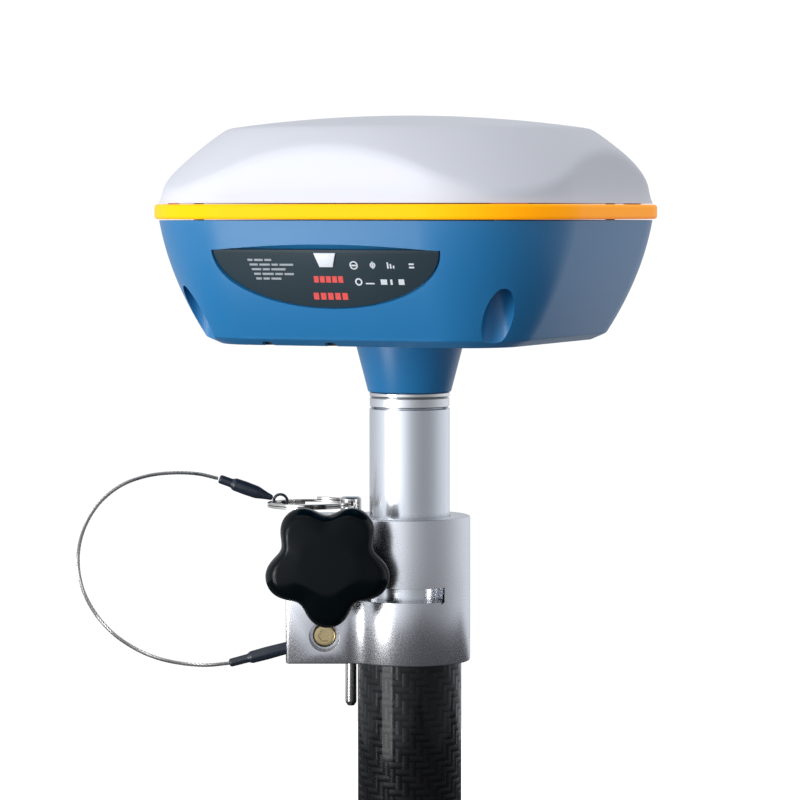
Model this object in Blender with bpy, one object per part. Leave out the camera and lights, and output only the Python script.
"""A GNSS receiver screwed onto the clamped head of a telescoping survey pole.

Lengths are written in millimetres and become metres in place(). +Z runs up the pole, the origin is
the centre of the foot of the short pole stub, and the receiver's label faces -Y. The clamp, its
knob, pin and lanyard are turned about the pole by CLAMP_YAW and are modelled in the clamp's frame,
whose -Y is the knob's side.
"""

import math

import bmesh
import bpy
from mathutils import Matrix, Vector

MM = 0.001
GAP = 0.3
ROUND = 32

# Heights up the pole, from the foot.
BAND_Z = 232.5
RING_Z = BAND_Z - 56.9
TUBE_TOP = BAND_Z - 60.3
COLLAR_TOP = BAND_Z - 93.6
COLLAR_FOOT = BAND_Z - 138.2
SHOULDER_Z = BAND_Z - 119.0
FERRULE_TOP = BAND_Z - 218.3

# Receiver: every level section is a square of half-side CORE grown outwards by a radius.
CORE = 30.3
CORNER_STEPS = 7
BAND_R = 37.5
BAND_H = 4.5
SHELL_EDGE = 2.55
RADOME_WALL = 2.6
CAP_R = 55.8
CAP_Z = 25.3
CROWN_Z = 29.4
HOUSING_R = 35.85
HOUSING_DEPTH = 37.7
HOUSING_FOOT = 39.8
FOOT_R = 17.0
HOUSING_WALL = 4.2
SCREW_AT = 48.2
WELL_R = 4.8
WELL_TOP = 14.0
BOSS_R = 6.6
PANEL_TILT = math.radians(19)
PANEL_Y = 59.65
PANEL_Z = 19.35
PANEL_HALF_W = 36.2
PANEL_HALF_H = 9.1
BROW_H = 2.8
PORT_X = (-25.2, -4.6)
PORT_Y = (-47.1, -36.2)
PORT_HALF_W = 7.8
COVER_AXIS_Z = 39.5

# Neck and pole.
NECK_TOP_R = 16.7
NECK_FOOT_R = 12.8
NECK_FOOT = 55.3
THREAD_R = 7.9375
TUBE_R = 12.4
TUBE_WALL = 1.5
TUBE_LENGTH = 109.7
CARBON_R = 16.0
CARBON_WALL = 1.5

# Clamp, in its own frame.
CLAMP_YAW = math.radians(23)
COLLAR_R = 18.75
EAR_END = -37.9
EAR_HALF = 11.5
BLEND_R = 8.0
SLIT_HALF = 0.75
SLOT_Z = (BAND_Z - 118.8, BAND_Z - 114.5)
SLOT_END = 10.6
KNOB_X = -24.8
KNOB_Z = BAND_Z - 106.2
KNOB_BACK = -19.2
KNOB_FRONT = -30.5
KNOB_R = 17.35
KNOB_LOBE = 2.3
STUD_R = 3.0
BOLT_X = -26.1
BOLT_Z = BAND_Z - 129.8
PIN_X = -18.2
PIN_Y = 4.5
PIN_R = 1.75
PIN_FOOT = BAND_Z - 153.2
RING_LEVEL = BAND_Z - 90.4
RING_R = 12.6
RING_WIRE = 0.9
CRIMP_R = 1.9
WIRE_R = 0.55
EYE_AT = (-40.3, 12.6, -90.2)
EYE_R = 2.1
EYE_WIRE = 0.45
EYE_FACING = (-0.06, -0.976, -0.21)

# Lanyard, in the clamp's frame: the wire's own points, then the two crimps' ends.
LANYARD = [
    (-55.3, -7.0, -138.5), (-62.5, -6.6, -139.2), (-70.3, -6.0, -138.7), (-77.9, -5.2, -137.1),
    (-85.0, -4.3, -134.1), (-91.6, -3.2, -129.6), (-97.2, -2.0, -123.4), (-101.1, -0.6, -115.8),
    (-102.5, 1.0, -107.1), (-100.9, 2.6, -98.3), (-96.5, 4.3, -90.6), (-89.8, 6.0, -85.0),
    (-81.9, 7.7, -82.1), (-73.8, 9.2, -81.2), (-66.1, 10.6, -81.6), (-59.8, 11.7, -83.1),
]
LOWER_CRIMP = ((-55.0, -7.0, -138.4), (-36.2, -7.0, -133.4))
UPPER_CRIMP = ((-59.4, 11.8, -83.2), (-44.2, 12.44, -88.8))

BLUE = (0.05, 0.20, 0.42)
LIGHT_GREY = (0.78, 0.79, 0.84)
YELLOW = (0.95, 0.62, 0.03)
DARK = (0.05, 0.07, 0.08)
ALUMINIUM = (0.72, 0.74, 0.77)
STEEL = (0.60, 0.59, 0.57)
BRASS = (0.62, 0.50, 0.27)
BLACK = (0.015, 0.018, 0.02)
BOARD = (0.02, 0.16, 0.08)


# ---------------------------------------------------------------- modelling helpers

def material(name, colour, roughness, metallic):
    """A Principled material in one colour."""
    mat = bpy.data.materials.new(name)
    mat.use_nodes = True
    shader = mat.node_tree.nodes["Principled BSDF"]
    shader.inputs["Base Color"].default_value = (*colour, 1.0)
    shader.inputs["Roughness"].default_value = roughness
    shader.inputs["Metallic"].default_value = metallic
    mat.diffuse_color = (*colour, 1.0)
    return mat


def place(name, bm, colour, roughness=0.5, metallic=0.0, parent=None, origin=(0, 0, 0)):
    """Turn a mesh in millimetres into a named object in metres whose origin is at `origin`."""
    bmesh.ops.remove_doubles(bm, verts=bm.verts, dist=0.0005)
    bmesh.ops.recalc_face_normals(bm, faces=bm.faces)
    bm.transform(Matrix.Scale(MM, 4) @ Matrix.Translation(-Vector(origin)))
    mesh = bpy.data.meshes.new(name)
    bm.to_mesh(mesh)
    bm.free()
    mesh.shade_smooth()
    mesh.set_sharp_from_angle(angle=math.radians(32))
    obj = bpy.data.objects.new(name, mesh)
    bpy.context.collection.objects.link(obj)
    obj.location = Vector(origin) * MM
    obj.parent = parent
    mesh.materials.append(material(name, colour, roughness, metallic))
    return obj


def carve(bm, cutter, operation="DIFFERENCE"):
    """Cut, join or intersect one mesh with another and give back the result."""
    pair = []
    for source in (bm, cutter):
        bmesh.ops.remove_doubles(source, verts=source.verts, dist=0.0005)
        bmesh.ops.recalc_face_normals(source, faces=source.faces)
        mesh = bpy.data.meshes.new("carve")
        source.to_mesh(mesh)
        source.free()
        obj = bpy.data.objects.new("carve", mesh)
        bpy.context.collection.objects.link(obj)
        pair.append(obj)
    boolean = pair[0].modifiers.new("carve", "BOOLEAN")
    boolean.operation = operation
    boolean.solver = "EXACT"
    boolean.object = pair[1]
    pair[1].hide_render = True
    pair[1].display_type = "WIRE"
    bpy.context.view_layer.update()
    graph = bpy.context.evaluated_depsgraph_get()
    result = bmesh.new()
    result.from_object(pair[0], graph)
    for obj in pair:
        mesh = obj.data
        bpy.data.objects.remove(obj)
        bpy.data.meshes.remove(mesh)
    return result


def merged(*parts):
    """Several meshes that don't touch, put together in one for use as a cutter."""
    whole = bmesh.new()
    for part in parts:
        mesh = bpy.data.meshes.new("merged")
        part.to_mesh(mesh)
        part.free()
        whole.from_mesh(mesh)
        bpy.data.meshes.remove(mesh)
    return whole


def turned(outline, steps=ROUND, closed=True):
    """Turn (radius, height) points about Z; an open outline starts and ends on the axis."""
    bm = bmesh.new()
    verts = [bm.verts.new((radius, 0.0, height)) for radius, height in outline]
    edges = [bm.edges.new(pair) for pair in zip(verts, verts[1:])]
    if closed:
        edges.append(bm.edges.new((verts[-1], verts[0])))
    bmesh.ops.spin(bm, geom=verts + edges, cent=(0, 0, 0), axis=(0, 0, 1),
                   angle=2 * math.pi, steps=steps, use_merge=True)
    bmesh.ops.remove_doubles(bm, verts=bm.verts, dist=0.0005)
    return bm


def rod(radius, low, high, steps=ROUND):
    """A plain cylinder on the Z axis."""
    return turned([(0, low), (radius, low), (radius, high), (0, high)], steps, closed=False)


def tube(inner, outer, low, high, steps=ROUND):
    """A plain tube on the Z axis."""
    return turned([(inner, low), (outer, low), (outer, high), (inner, high)], steps)


def moved(bm, x=0.0, y=0.0, z=0.0):
    """The mesh shifted by a vector."""
    bm.transform(Matrix.Translation((x, y, z)))
    return bm


def facing_front(bm, x, z):
    """Lay a mesh turned about Z along -Y, through the point (x, z)."""
    bm.transform(Matrix.Translation((x, 0, z)) @ Matrix.Rotation(math.radians(90), 4, "X"))
    return bm


def block(low, high, chamfer=0.0):
    """A box between two corners, with its edges chamfered if asked."""
    bm = bmesh.new()
    bmesh.ops.create_cube(bm, size=1.0)
    low = Vector(low)
    size = Vector(high) - low
    bm.transform(Matrix.Translation(low + size / 2) @ Matrix.Diagonal((*size, 1.0)))
    if chamfer:
        bmesh.ops.bevel(bm, geom=bm.edges[:], offset=chamfer, segments=1, profile=0.5,
                        affect="EDGES", material=-1)
    return bm


def prism(outline, low, high):
    """Raise a flat outline of (x, y) points from one height to another."""
    bm = bmesh.new()
    base = bm.faces.new([bm.verts.new((x, y, low)) for x, y in outline])
    raised = bmesh.ops.extrude_face_region(bm, geom=[base])["geom"]
    verts = [item for item in raised if isinstance(item, bmesh.types.BMVert)]
    bmesh.ops.translate(bm, verts=verts, vec=(0, 0, high - low))
    return bm


def stacked(loops, ring=False):
    """Skin level loops of equal length, then cap the ends or, for a ring, join them."""
    bm = bmesh.new()
    rows = [[bm.verts.new(point) for point in loop] for loop in loops]
    pairs = list(zip(rows, rows[1:]))
    if ring:
        pairs.append((rows[-1], rows[0]))
    count = len(rows[0])
    for below, above in pairs:
        for i in range(count):
            j = (i + 1) % count
            bm.faces.new((below[i], below[j], above[j], above[i]))
    if not ring:
        bm.faces.new(rows[0])
        bm.faces.new(rows[-1])
    return bm


# ---------------------------------------------------------------- receiver shapes

def square_loop(radius, height):
    """The level section at a height: the core square grown by a radius, with round corners."""
    points = []
    for corner in range(4):
        start = corner * math.pi / 2
        centre = Matrix.Rotation(start, 3, "Z") @ Vector((CORE, CORE, 0))
        for step in range(CORNER_STEPS + 1):
            angle = start + step / CORNER_STEPS * math.pi / 2
            points.append((centre.x + radius * math.cos(angle),
                           centre.y + radius * math.sin(angle), height))
    return points


def housing_radius(depth):
    """Growth of the lower housing's section at a depth below the band."""
    below = depth - 3.7
    return HOUSING_R - 0.187 * below - 0.0067 * below * below


def radome_radius(height):
    """Growth of the radome's wall section at a height above the band."""
    return 34.4 + 1.8 * math.exp((SHELL_EDGE - height) / 3.5)


def slope_height(reach):
    """Height of the radome's sloping top at a distance from its axis."""
    out = reach - CAP_R
    return CAP_Z - 0.649 * out - 0.00964 * out * out


def reach_of_wall(angle, radius):
    """Distance from the axis to the grown square in one direction."""
    folded = abs((angle + math.pi / 4) % (math.pi / 2) - math.pi / 4)
    flat = (CORE + radius) / math.cos(folded)
    if flat * math.sin(folded) <= CORE:
        return flat
    along = CORE * (math.cos(folded) + math.sin(folded))
    return along + math.sqrt(along * along - 2 * CORE * CORE + radius * radius)


def radome_edge(angle, inset):
    """Where wall and slope meet in one direction, as (reach, height)."""
    low = SHELL_EDGE
    high = CAP_Z
    for _ in range(30):
        middle = (low + high) / 2
        reach = reach_of_wall(angle, radome_radius(middle) - inset)
        if slope_height(reach + inset * 0.6) - inset > middle:
            low = middle
        else:
            high = middle
    return reach_of_wall(angle, radome_radius(low) - inset), low


def radome_rings(inset, bottom):
    """Rings of the radome's skin, from its lower edge up to the ring next to the crown."""
    directions = [2 * math.pi * i / 64 for i in range(64)]
    wall_shares = (0.0, 0.2, 0.5)
    slope_shares = (0.0, 0.3, 0.6, 1.0)
    cap_shares = (0.72, 0.4, 0.12)
    rim = CAP_R - 0.4 * inset
    rings = []
    for share in wall_shares:
        ring = []
        for angle in directions:
            height = bottom + share * (radome_edge(angle, inset)[1] - bottom)
            reach = reach_of_wall(angle, radome_radius(height) - inset)
            ring.append((reach * math.cos(angle), reach * math.sin(angle), height))
        rings.append(ring)
    for share in slope_shares:
        ring = []
        for angle in directions:
            edge = radome_edge(angle, inset)[0]
            reach = edge + share * (rim - edge)
            height = slope_height(reach + inset * 0.6) - inset
            ring.append((reach * math.cos(angle), reach * math.sin(angle), height))
        rings.append(ring)
    rim_z = slope_height(rim + inset * 0.6) - inset
    for share in cap_shares:
        height = CROWN_Z - inset - (CROWN_Z - inset - rim_z) * share * share
        rings.append([(share * rim * math.cos(a), share * rim * math.sin(a), height)
                      for a in directions])
    return rings


def at_corners(make):
    """One mesh of `make()` at each of the four screw corners."""
    places = [(sx * SCREW_AT, sy * SCREW_AT) for sx in (-1, 1) for sy in (-1, 1)]
    return merged(*[moved(make(), x, y) for x, y in places])


def on_panel(bm, front=True):
    """Lay a flat mesh on the tilted front or rear panel seat; its +Z faces outwards."""
    tilt = Matrix(((1, 0, 0, 0),
                   (0, -math.sin(PANEL_TILT), -math.cos(PANEL_TILT), -PANEL_Y),
                   (0, math.cos(PANEL_TILT), -math.sin(PANEL_TILT), BAND_Z - PANEL_Z),
                   (0, 0, 0, 1)))
    turn = Matrix.Identity(4) if front else Matrix.Rotation(math.pi, 4, "Z")
    bm.transform(turn @ tilt)
    return bm


def bowl_outline(inset, brow=0.0):
    """Panel outline: a half ellipse under a top edge that is straight, or arched by a brow."""
    wide = PANEL_HALF_W - inset
    tall = 2 * (PANEL_HALF_H - inset)
    top = PANEL_HALF_H - inset
    points = [(-wide * math.cos(math.pi * i / 20), top - tall * math.sin(math.pi * i / 20))
              for i in range(21)]
    if brow:
        points += [(wide * (1 - i / 4), top + brow * math.sin(math.pi * i / 8)) for i in range(1, 8)]
    return points


def lower_housing():
    """Blue lower shell: tapered cup with screw wells, two panel seats and two port pockets."""
    depths = [SHELL_EDGE, 6.5, 10.5, 15, 20, 25, 30, 33.5, HOUSING_DEPTH]
    outside = [square_loop(housing_radius(d), BAND_Z - d) for d in depths]
    outside.append(square_loop(FOOT_R, BAND_Z - HOUSING_FOOT))
    floor = HOUSING_FOOT - HOUSING_WALL
    inner_depths = [0.0, 10.5, 20, 28, floor - 1.5]
    inside = [square_loop(housing_radius(max(d, SHELL_EDGE)) - HOUSING_WALL, BAND_Z - d)
              for d in inner_depths]
    inside.append(square_loop(FOOT_R - 1.0, BAND_Z - floor))
    cavity = carve(stacked(inside), at_corners(
        lambda: rod(BOSS_R, BAND_Z - HOUSING_FOOT, BAND_Z + 1, 16)))
    shell = carve(stacked(outside), cavity)
    wells = at_corners(lambda: rod(WELL_R, BAND_Z - HOUSING_FOOT - 1, BAND_Z - WELL_TOP, 16))
    shell = carve(shell, wells)
    holes = at_corners(lambda: rod(1.9, BAND_Z - WELL_TOP - 1, BAND_Z + 1, 10))
    shell = carve(shell, holes)
    for front in (True, False):
        shell = carve(shell, on_panel(prism(bowl_outline(0, BROW_H), 0, 12), front))
    foot = BAND_Z - HOUSING_FOOT
    for x in PORT_X:
        shell = carve(shell, block((x - PORT_HALF_W, PORT_Y[0], foot - 1),
                                   (x + PORT_HALF_W, PORT_Y[1], foot + 2.8)))
        shell = carve(shell, block((x - 5.2, -44.7, foot + 1), (x + 5.2, -38.7, foot + 6)))
        shell = carve(shell, moved(rod(1.9, foot - 1, foot + 2.4, 12), x, -48.2))
    return carve(shell, rod(15.1, foot - 1, foot + 8))


def radome():
    """Light grey upper shell with four screw bosses inside."""
    outside = radome_rings(0.0, SHELL_EDGE)
    inside = radome_rings(RADOME_WALL, SHELL_EDGE)
    shell = stacked(inside[::-1] + outside)
    bmesh.ops.recalc_face_normals(shell, faces=shell.faces)
    moved(shell, z=BAND_Z)
    bosses = at_corners(lambda: rod(4.0, BAND_Z + SHELL_EDGE + 0.4, BAND_Z + 11, 16))
    shell = carve(shell, bosses, "UNION")
    return carve(shell, at_corners(lambda: rod(1.9, BAND_Z + 1, BAND_Z + 8.5, 10)))


def band_ring():
    """Yellow band: a rounded bead clamped between the two shells."""
    half = BAND_H / 2
    section = [(33.2, -half), (BAND_R - 1.0, -half), (BAND_R - 0.3, -half + 0.4),
               (BAND_R, -half + 1.1), (BAND_R, half - 1.1), (BAND_R - 0.3, half - 0.4),
               (BAND_R - 1.0, half), (33.2, half)]
    return stacked([square_loop(radius, BAND_Z + height) for radius, height in section], ring=True)


def make_receiver():
    """Shells, seal, panels, screws and everything inside the receiver."""
    place("lower_housing", lower_housing(), BLUE, 0.42)
    place("radome", radome(), LIGHT_GREY, 0.45)
    place("band_ring", band_ring(), YELLOW, 0.4)
    seal = [(30.9, -1.9), (32.6, -1.9), (32.6, 1.9), (30.9, 1.9)]
    place("housing_seal", stacked([square_loop(r, BAND_Z + z) for r, z in seal], ring=True),
          BLACK, 0.8)
    place("label_plate", on_panel(prism(bowl_outline(0.3), 0.2, 1.0)), DARK, 0.5)
    mark = [(-2.0, 4.5), (2.0, 4.5), (3.2, 8.0), (-3.2, 8.0)]
    place("height_mark", on_panel(prism(mark, 1.2, 1.7)), (0.85, 0.87, 0.9), 0.4)
    panel = carve(prism(bowl_outline(0.3), 0.2, 1.0), rod(5.6, -1, 3, 24))
    place("control_panel", on_panel(panel, False), DARK, 0.5)
    for index in range(4):
        x = (-20.0, -12.5, 12.5, 20.0)[index]
        light = moved(rod(1.4, 1.2, 1.8, 12), x, 3.0)
        place(f"indicator_light_{index + 1}", on_panel(light, False), (0.2, 0.8, 0.3), 0.2)
    for index, (sx, sy) in enumerate(((-1, -1), (1, -1), (1, 1), (-1, 1))):
        head = BAND_Z - WELL_TOP - GAP
        screw = turned([(0, head - 2.6), (1.6, head - 3.6), (3.5, head - 3.0), (3.5, head),
                        (1.5, head), (1.5, BAND_Z + 7.5), (0, BAND_Z + 7.5)], 14, closed=False)
        place(f"housing_screw_{index + 1}", moved(screw, sx * SCREW_AT, sy * SCREW_AT),
              STEEL, 0.3, 1.0)
    make_neck()
    make_ports()
    make_insides()


def make_neck():
    """Blue cone under the housing, its brass insert, and the polished ring below it."""
    foot = BAND_Z - NECK_FOOT
    top = BAND_Z - HOUSING_FOOT - GAP
    cone = [(10.8, foot), (NECK_FOOT_R - 0.3, foot), (NECK_FOOT_R, foot + 0.3),
            (NECK_TOP_R, top), (14.8, top), (14.8, top + 5.3), (0, top + 5.3), (0, top + 3),
            (10.8, top + 3)]
    place("neck", turned(cone[7:] + cone[:7], closed=False), BLUE, 0.42)
    place("thread_insert", tube(THREAD_R + 0.1, 10.5, foot + 0.1, top + 2.6), BRASS, 0.3, 1.0)
    ring = tube(8.3, 12.3, RING_Z + 0.2, foot - 0.2)
    place("thrust_ring", ring, STEEL, 0.15, 1.0)


def make_ports():
    """Two connectors in the floor and the rubber covers hinged over them."""
    foot = BAND_Z - HOUSING_FOOT
    names = ("data_connector", "antenna_connector")
    for index, x in enumerate(PORT_X):
        socket = block((x - 4.9, -44.4, foot + 3.4), (x + 4.9, -39.0, foot + 12), 0.4)
        place(names[index], socket, STEEL, 0.35, 1.0)
        cover = block((x - PORT_HALF_W + GAP, PORT_Y[0] + GAP, foot + 0.1),
                      (x + PORT_HALF_W - GAP, PORT_Y[1] - GAP, foot + 2.4), 0.4)
        cover = carve(cover, moved(rod(1.9, foot - 1, foot + 4, 12), x, -47.6))
        place(f"port_cover_{index + 1}", cover, BLACK, 0.7,
              origin=(x, PORT_Y[1], BAND_Z - COVER_AXIS_Z))


def make_insides():
    """Boards, antenna, battery and the sprung power key."""
    place("main_board", block((-50, -38, BAND_Z - 9.6), (50, 38, BAND_Z - 8)), BOARD)
    place("positioning_module", block((-24, 4, BAND_Z - 7.7), (8, 34, BAND_Z - 4.5), 0.5),
          STEEL, 0.3, 1.0)
    place("radio_module", block((14, -30, BAND_Z - 7.7), (40, 0, BAND_Z - 4.5), 0.5),
          STEEL, 0.3, 1.0)
    place("beeper", moved(rod(6, BAND_Z - 7.7, BAND_Z - 3.7, 16), -34, -24), BLACK)
    place("ground_plane", rod(47, BAND_Z + 4.0, BAND_Z + 5.6, 48), BOARD)
    place("antenna_patch_lower", moved(rod(30, BAND_Z + 5.9, BAND_Z + 11.9), 0, 0),
          (0.8, 0.76, 0.68), 0.6)
    place("antenna_patch_upper", moved(rod(22, BAND_Z + 12.2, BAND_Z + 17.2), 0, 0),
          (0.8, 0.76, 0.68), 0.6)
    place("battery_tray", block((-37, -34, BAND_Z - 12.6), (37, 34, BAND_Z - 11), 0.4),
          BLACK, 0.6)
    for index, y in enumerate((-20.5, 20.5)):
        cell = rod(9.2, -32.5, 32.5, 24)
        cell.transform(Matrix.Translation((0, y, BAND_Z - 23)) @ Matrix.Rotation(math.pi / 2, 4, "Y"))
        place(f"battery_cell_{index + 1}", cell, (0.1, 0.25, 0.3), 0.4)
    key = turned([(0, 0.9), (5.0, 0.9), (5.0, 2.4), (4.4, 2.9), (0, 3.0)], 24, closed=False)
    place("power_key", on_panel(key, False), (0.5, 0.52, 0.55), 0.4,
          origin=(0, PANEL_Y, BAND_Z - PANEL_Z))


# ---------------------------------------------------------------- pole and clamp

def make_pole():
    """Pole head with its stud, sliding inner tube, guide bush, carbon tube and foot ferrule."""
    stud_top = BAND_Z - 42
    neck_of_head = [(0, TUBE_TOP - 15), (10.6, TUBE_TOP - 15), (10.6, TUBE_TOP + GAP),
                    (12.3, TUBE_TOP + GAP), (12.3, RING_Z - 0.3), (12.0, RING_Z),
                    (THREAD_R - 0.3, RING_Z), (THREAD_R - 0.3, stud_top - 1),
                    (THREAD_R - 1.3, stud_top), (0, stud_top)]
    place("pole_head", turned(neck_of_head, closed=False), ALUMINIUM, 0.3, 1.0)
    foot = TUBE_TOP - TUBE_LENGTH
    place("inner_tube", tube(TUBE_R - TUBE_WALL, TUBE_R, foot, TUBE_TOP), ALUMINIUM, 0.3, 1.0)
    place("guide_bush", tube(TUBE_R + GAP, CARBON_R - CARBON_WALL - GAP, foot, foot + 12),
          BLACK, 0.5)
    place("carbon_tube", tube(CARBON_R - CARBON_WALL, CARBON_R, FERRULE_TOP + GAP,
                              SHOULDER_Z - GAP), BLACK, 0.2)
    spigot = CARBON_R - CARBON_WALL - GAP
    ferrule = [(0, 22), (THREAD_R, 22), (THREAD_R, 0.8), (THREAD_R + 0.8, 0), (CARBON_R - 0.8, 0),
               (CARBON_R, 0.8), (CARBON_R, FERRULE_TOP), (spigot, FERRULE_TOP), (spigot, 29.5),
               (0, 29.5)]
    place("pole_ferrule", turned(ferrule, closed=False), ALUMINIUM, 0.35, 1.0)


def collar_outline():
    """Plan of the clamp: a round collar blended by hollow fillets into a flat ear."""
    blend_y = EAR_HALF + BLEND_R
    blend_x = -math.sqrt((COLLAR_R + BLEND_R) ** 2 - blend_y ** 2)
    hollow_end = math.atan2(blend_y, -blend_x)
    lower = [(EAR_END, -EAR_HALF + 0.8), (EAR_END + 0.8, -EAR_HALF)]
    for step in range(6):
        angle = math.pi / 2 - step / 5 * (math.pi / 2 - hollow_end)
        lower.append((blend_x + BLEND_R * math.cos(angle), -blend_y + BLEND_R * math.sin(angle)))
    start = math.pi + hollow_end
    sweep = 2 * math.pi - 2 * hollow_end
    around = [(COLLAR_R * math.cos(start + sweep * i / 26), COLLAR_R * math.sin(start + sweep * i / 26))
              for i in range(1, 26)]
    return lower + around + [(x, -y) for x, y in reversed(lower)]


def make_clamp(frame):
    """Collar with its slit and slot, clamp bolt and the knob's nut."""
    collar = prism(collar_outline(), COLLAR_FOOT, COLLAR_TOP)
    collar = carve(collar, turned([(0, COLLAR_FOOT - 1), (CARBON_R + GAP, COLLAR_FOOT - 1),
                                   (CARBON_R + GAP, SHOULDER_Z), (TUBE_R + GAP, SHOULDER_Z),
                                   (TUBE_R + GAP, COLLAR_TOP + 1), (0, COLLAR_TOP + 1)],
                                  closed=False))
    collar = carve(collar, block((EAR_END - 2, -SLIT_HALF, COLLAR_FOOT - 1),
                                 (-8, SLIT_HALF, COLLAR_TOP + 1)))
    collar = carve(collar, block((EAR_END - 2, -COLLAR_R - 2, SLOT_Z[0]),
                                 (SLOT_END, SLIT_HALF - 0.1, SLOT_Z[1])))
    collar = carve(collar, facing_front(rod(STUD_R + GAP, -15, 15, 16), KNOB_X, KNOB_Z))
    collar = carve(collar, facing_front(rod(2.8, -8, 15, 16), BOLT_X, BOLT_Z))
    collar = carve(collar, facing_front(rod(4.65, 5.5, 15, 20), BOLT_X, BOLT_Z))
    collar = carve(collar, moved(rod(PIN_R + GAP, COLLAR_FOOT - 1, COLLAR_TOP + 1, 14),
                                 PIN_X, PIN_Y))
    collar = carve(collar, crimp_mesh(LOWER_CRIMP[0], LOWER_CRIMP[1], CRIMP_R + GAP, 0.5))
    place("clamp_collar", collar, ALUMINIUM, 0.35, 1.0, parent=frame)
    bolt = [(0, -7.4), (2.5, -7.4), (2.5, 5.8), (3.6, 5.8), (3.6, 8.7), (3.1, 9.2), (2.2, 9.2),
            (2.2, 7.4), (0, 7.4)]
    place("clamp_bolt", facing_front(turned(bolt, 20, closed=False), BOLT_X, BOLT_Z),
          BRASS, 0.3, 1.0, parent=frame)
    nut = prism([(6.0 * math.cos(a * math.pi / 3), 6.0 * math.sin(a * math.pi / 3))
                 for a in range(6)], -EAR_HALF - 5.3, -EAR_HALF - GAP)
    nut = carve(nut, rod(STUD_R + GAP, -EAR_HALF - 6, -EAR_HALF + 1, 16))
    place("knob_nut", facing_front(nut, KNOB_X, KNOB_Z), STEEL, 0.3, 1.0, parent=frame)


def knob_outline():
    """Star outline with five lobes, one of them pointing down."""
    points = []
    for index in range(60):
        angle = 2 * math.pi * index / 60
        lobe = 5 * (angle + math.pi / 2)
        radius = KNOB_R + KNOB_LOBE * math.cos(lobe) - 0.25 * math.cos(2 * lobe)
        points.append((radius, angle))
    return points


def make_knob(frame):
    """Five-lobed knob, its stud and the washer between it and the ear."""
    depth = [(0.82, -KNOB_BACK), (1.0, -KNOB_BACK + 2.0), (1.0, -KNOB_FRONT - 4.0),
             (0.95, -KNOB_FRONT - 1.6), (0.80, -KNOB_FRONT - 0.4), (0.45, -KNOB_FRONT)]
    loops = [[(s * r * math.cos(a), s * r * math.sin(a), z) for r, a in knob_outline()]
             for s, z in depth]
    body = carve(stacked(loops), turned([(0, 14.4), (8.0, 14.4), (8.0, -KNOB_BACK + 1),
                                         (0, -KNOB_BACK + 1)], 20, closed=False), "UNION")
    body = carve(body, rod(STUD_R + GAP, 10, -KNOB_BACK + 5, 16))
    centre = (KNOB_X, 0, KNOB_Z)
    place("star_knob", facing_front(body, KNOB_X, KNOB_Z), BLACK, 0.15, parent=frame, origin=centre)
    stud = rod(STUD_R, -EAR_HALF - 7, -KNOB_BACK + 4.5, 16)
    place("knob_stud", facing_front(stud, KNOB_X, KNOB_Z), STEEL, 0.3, 1.0, parent=frame,
          origin=centre)
    washer = tube(STUD_R + GAP, 7.5, EAR_HALF + 0.3, 14.1, 24)
    place("knob_washer", facing_front(washer, KNOB_X, KNOB_Z), STEEL, 0.25, 1.0, parent=frame)


def crimp_mesh(start, end, radius, waist):
    """A crimp sleeve between two points, thinner by the share `waist` over its first part."""
    start = Vector((start[0], start[1], BAND_Z + start[2]))
    end = Vector((end[0], end[1], BAND_Z + end[2]))
    length = (end - start).length
    thin = radius * (1 - 0.35 * waist)
    outline = [(0, 0), (thin, 0), (thin, length * 0.3), (radius, length * 0.38), (radius, length),
               (0, length)]
    bm = turned(outline, 12, closed=False)
    turn = (end - start).to_track_quat("Z", "Y").to_matrix().to_4x4()
    bm.transform(Matrix.Translation(start) @ turn)
    return bm


def make_pin(frame):
    """Locking pin stored in the clamp, with the pull ring through its head."""
    pin = turned([(0, PIN_FOOT), (1.1, PIN_FOOT), (PIN_R, PIN_FOOT + 1.2),
                  (PIN_R, COLLAR_TOP + GAP), (3.25, COLLAR_TOP + GAP), (3.25, COLLAR_TOP + 4.9),
                  (2.7, COLLAR_TOP + 5.4), (0, COLLAR_TOP + 5.4)], 18, closed=False)
    pin = moved(pin, PIN_X, PIN_Y)
    hole = rod(1.3, -6, 6, 12)
    hole.transform(Matrix.Translation((PIN_X, PIN_Y, RING_LEVEL)) @ Matrix.Rotation(math.pi / 2, 4, "X"))
    centre = (PIN_X, PIN_Y, COLLAR_TOP)
    place("locking_pin", carve(pin, hole), STEEL, 0.2, 1.0, parent=frame, origin=centre)
    section = [(RING_R + RING_WIRE * math.cos(a * math.pi / 4), RING_WIRE * math.sin(a * math.pi / 4))
               for a in range(8)]
    ring = moved(turned(section, 36), PIN_X + 0.15 - RING_R, PIN_Y, RING_LEVEL)
    place("pull_ring", ring, STEEL, 0.2, 1.0, parent=frame)


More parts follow.
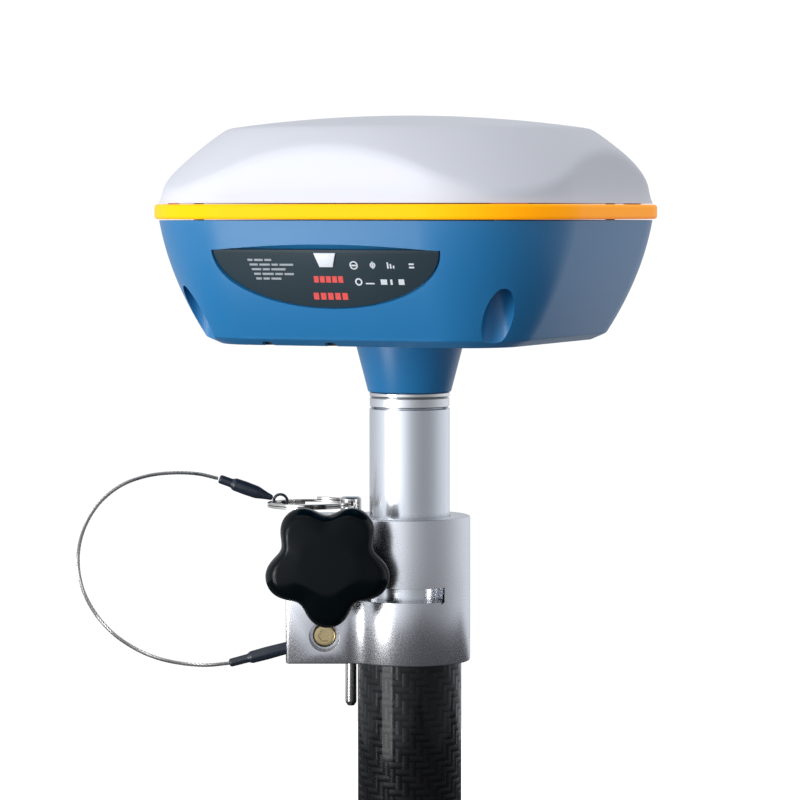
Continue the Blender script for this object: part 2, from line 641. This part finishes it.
def make_lanyard(frame):
    """Wire lanyard: the free wire, a crimp sleeve at each end and the eye round the pull ring."""
    smooth = smooth_points([Vector((x, y, BAND_Z + z)) for x, y, z in LANYARD], 5)
    cord_tube("lanyard_wire", smooth, WIRE_R, frame)
    place("lower_crimp", crimp_mesh(*LOWER_CRIMP, CRIMP_R, 1.0), BLACK, 0.5, parent=frame)
    place("upper_crimp", crimp_mesh(*UPPER_CRIMP, CRIMP_R, 1.0), BLACK, 0.5, parent=frame)
    section = [(EYE_R + EYE_WIRE * math.cos(a * math.pi / 3), EYE_WIRE * math.sin(a * math.pi / 3))
               for a in range(6)]
    eye = turned(section, 16)
    facing = Vector(EYE_FACING).to_track_quat("Z", "Y").to_matrix().to_4x4()
    eye.transform(Matrix.Translation((EYE_AT[0], EYE_AT[1], BAND_Z + EYE_AT[2])) @ facing)
    place("lanyard_eye", eye, STEEL, 0.3, 1.0, parent=frame)


def smooth_points(points, per_span):
    """Points along a Catmull-Rom curve through the given ones."""
    ends = [2 * points[0] - points[1]] + points + [2 * points[-1] - points[-2]]
    result = []
    for a, b, c, d in zip(ends, ends[1:], ends[2:], ends[3:]):
        for step in range(per_span):
            t = step / per_span
            result.append(0.5 * (2 * b + (c - a) * t + (2 * a - 5 * b + 4 * c - d) * t * t
                                 + (3 * b - a - 3 * c + d) * t ** 3))
    return result + [points[-1]]


def cord_tube(name, points, radius, frame):
    """A round cord as a bevelled poly curve with filled ends."""
    curve = bpy.data.curves.new(name, "CURVE")
    curve.dimensions = "3D"
    curve.bevel_depth = radius * MM
    curve.bevel_resolution = 2
    curve.use_fill_caps = True
    spline = curve.splines.new("POLY")
    spline.points.add(len(points) - 1)
    for item, point in zip(spline.points, points):
        item.co = (*(point * MM), 1.0)
    obj = bpy.data.objects.new(name, curve)
    bpy.context.collection.objects.link(obj)
    obj.parent = frame
    curve.materials.append(material(name, STEEL, 0.35, 1.0))


def main():
    for obj in list(bpy.data.objects):
        bpy.data.objects.remove(obj)
    clamp_frame = bpy.data.objects.new("clamp_frame", None)
    clamp_frame.rotation_euler.z = CLAMP_YAW
    bpy.context.collection.objects.link(clamp_frame)
    make_receiver()
    make_pole()
    make_clamp(clamp_frame)
    make_knob(clamp_frame)
    make_pin(clamp_frame)
    make_lanyard(clamp_frame)


main()
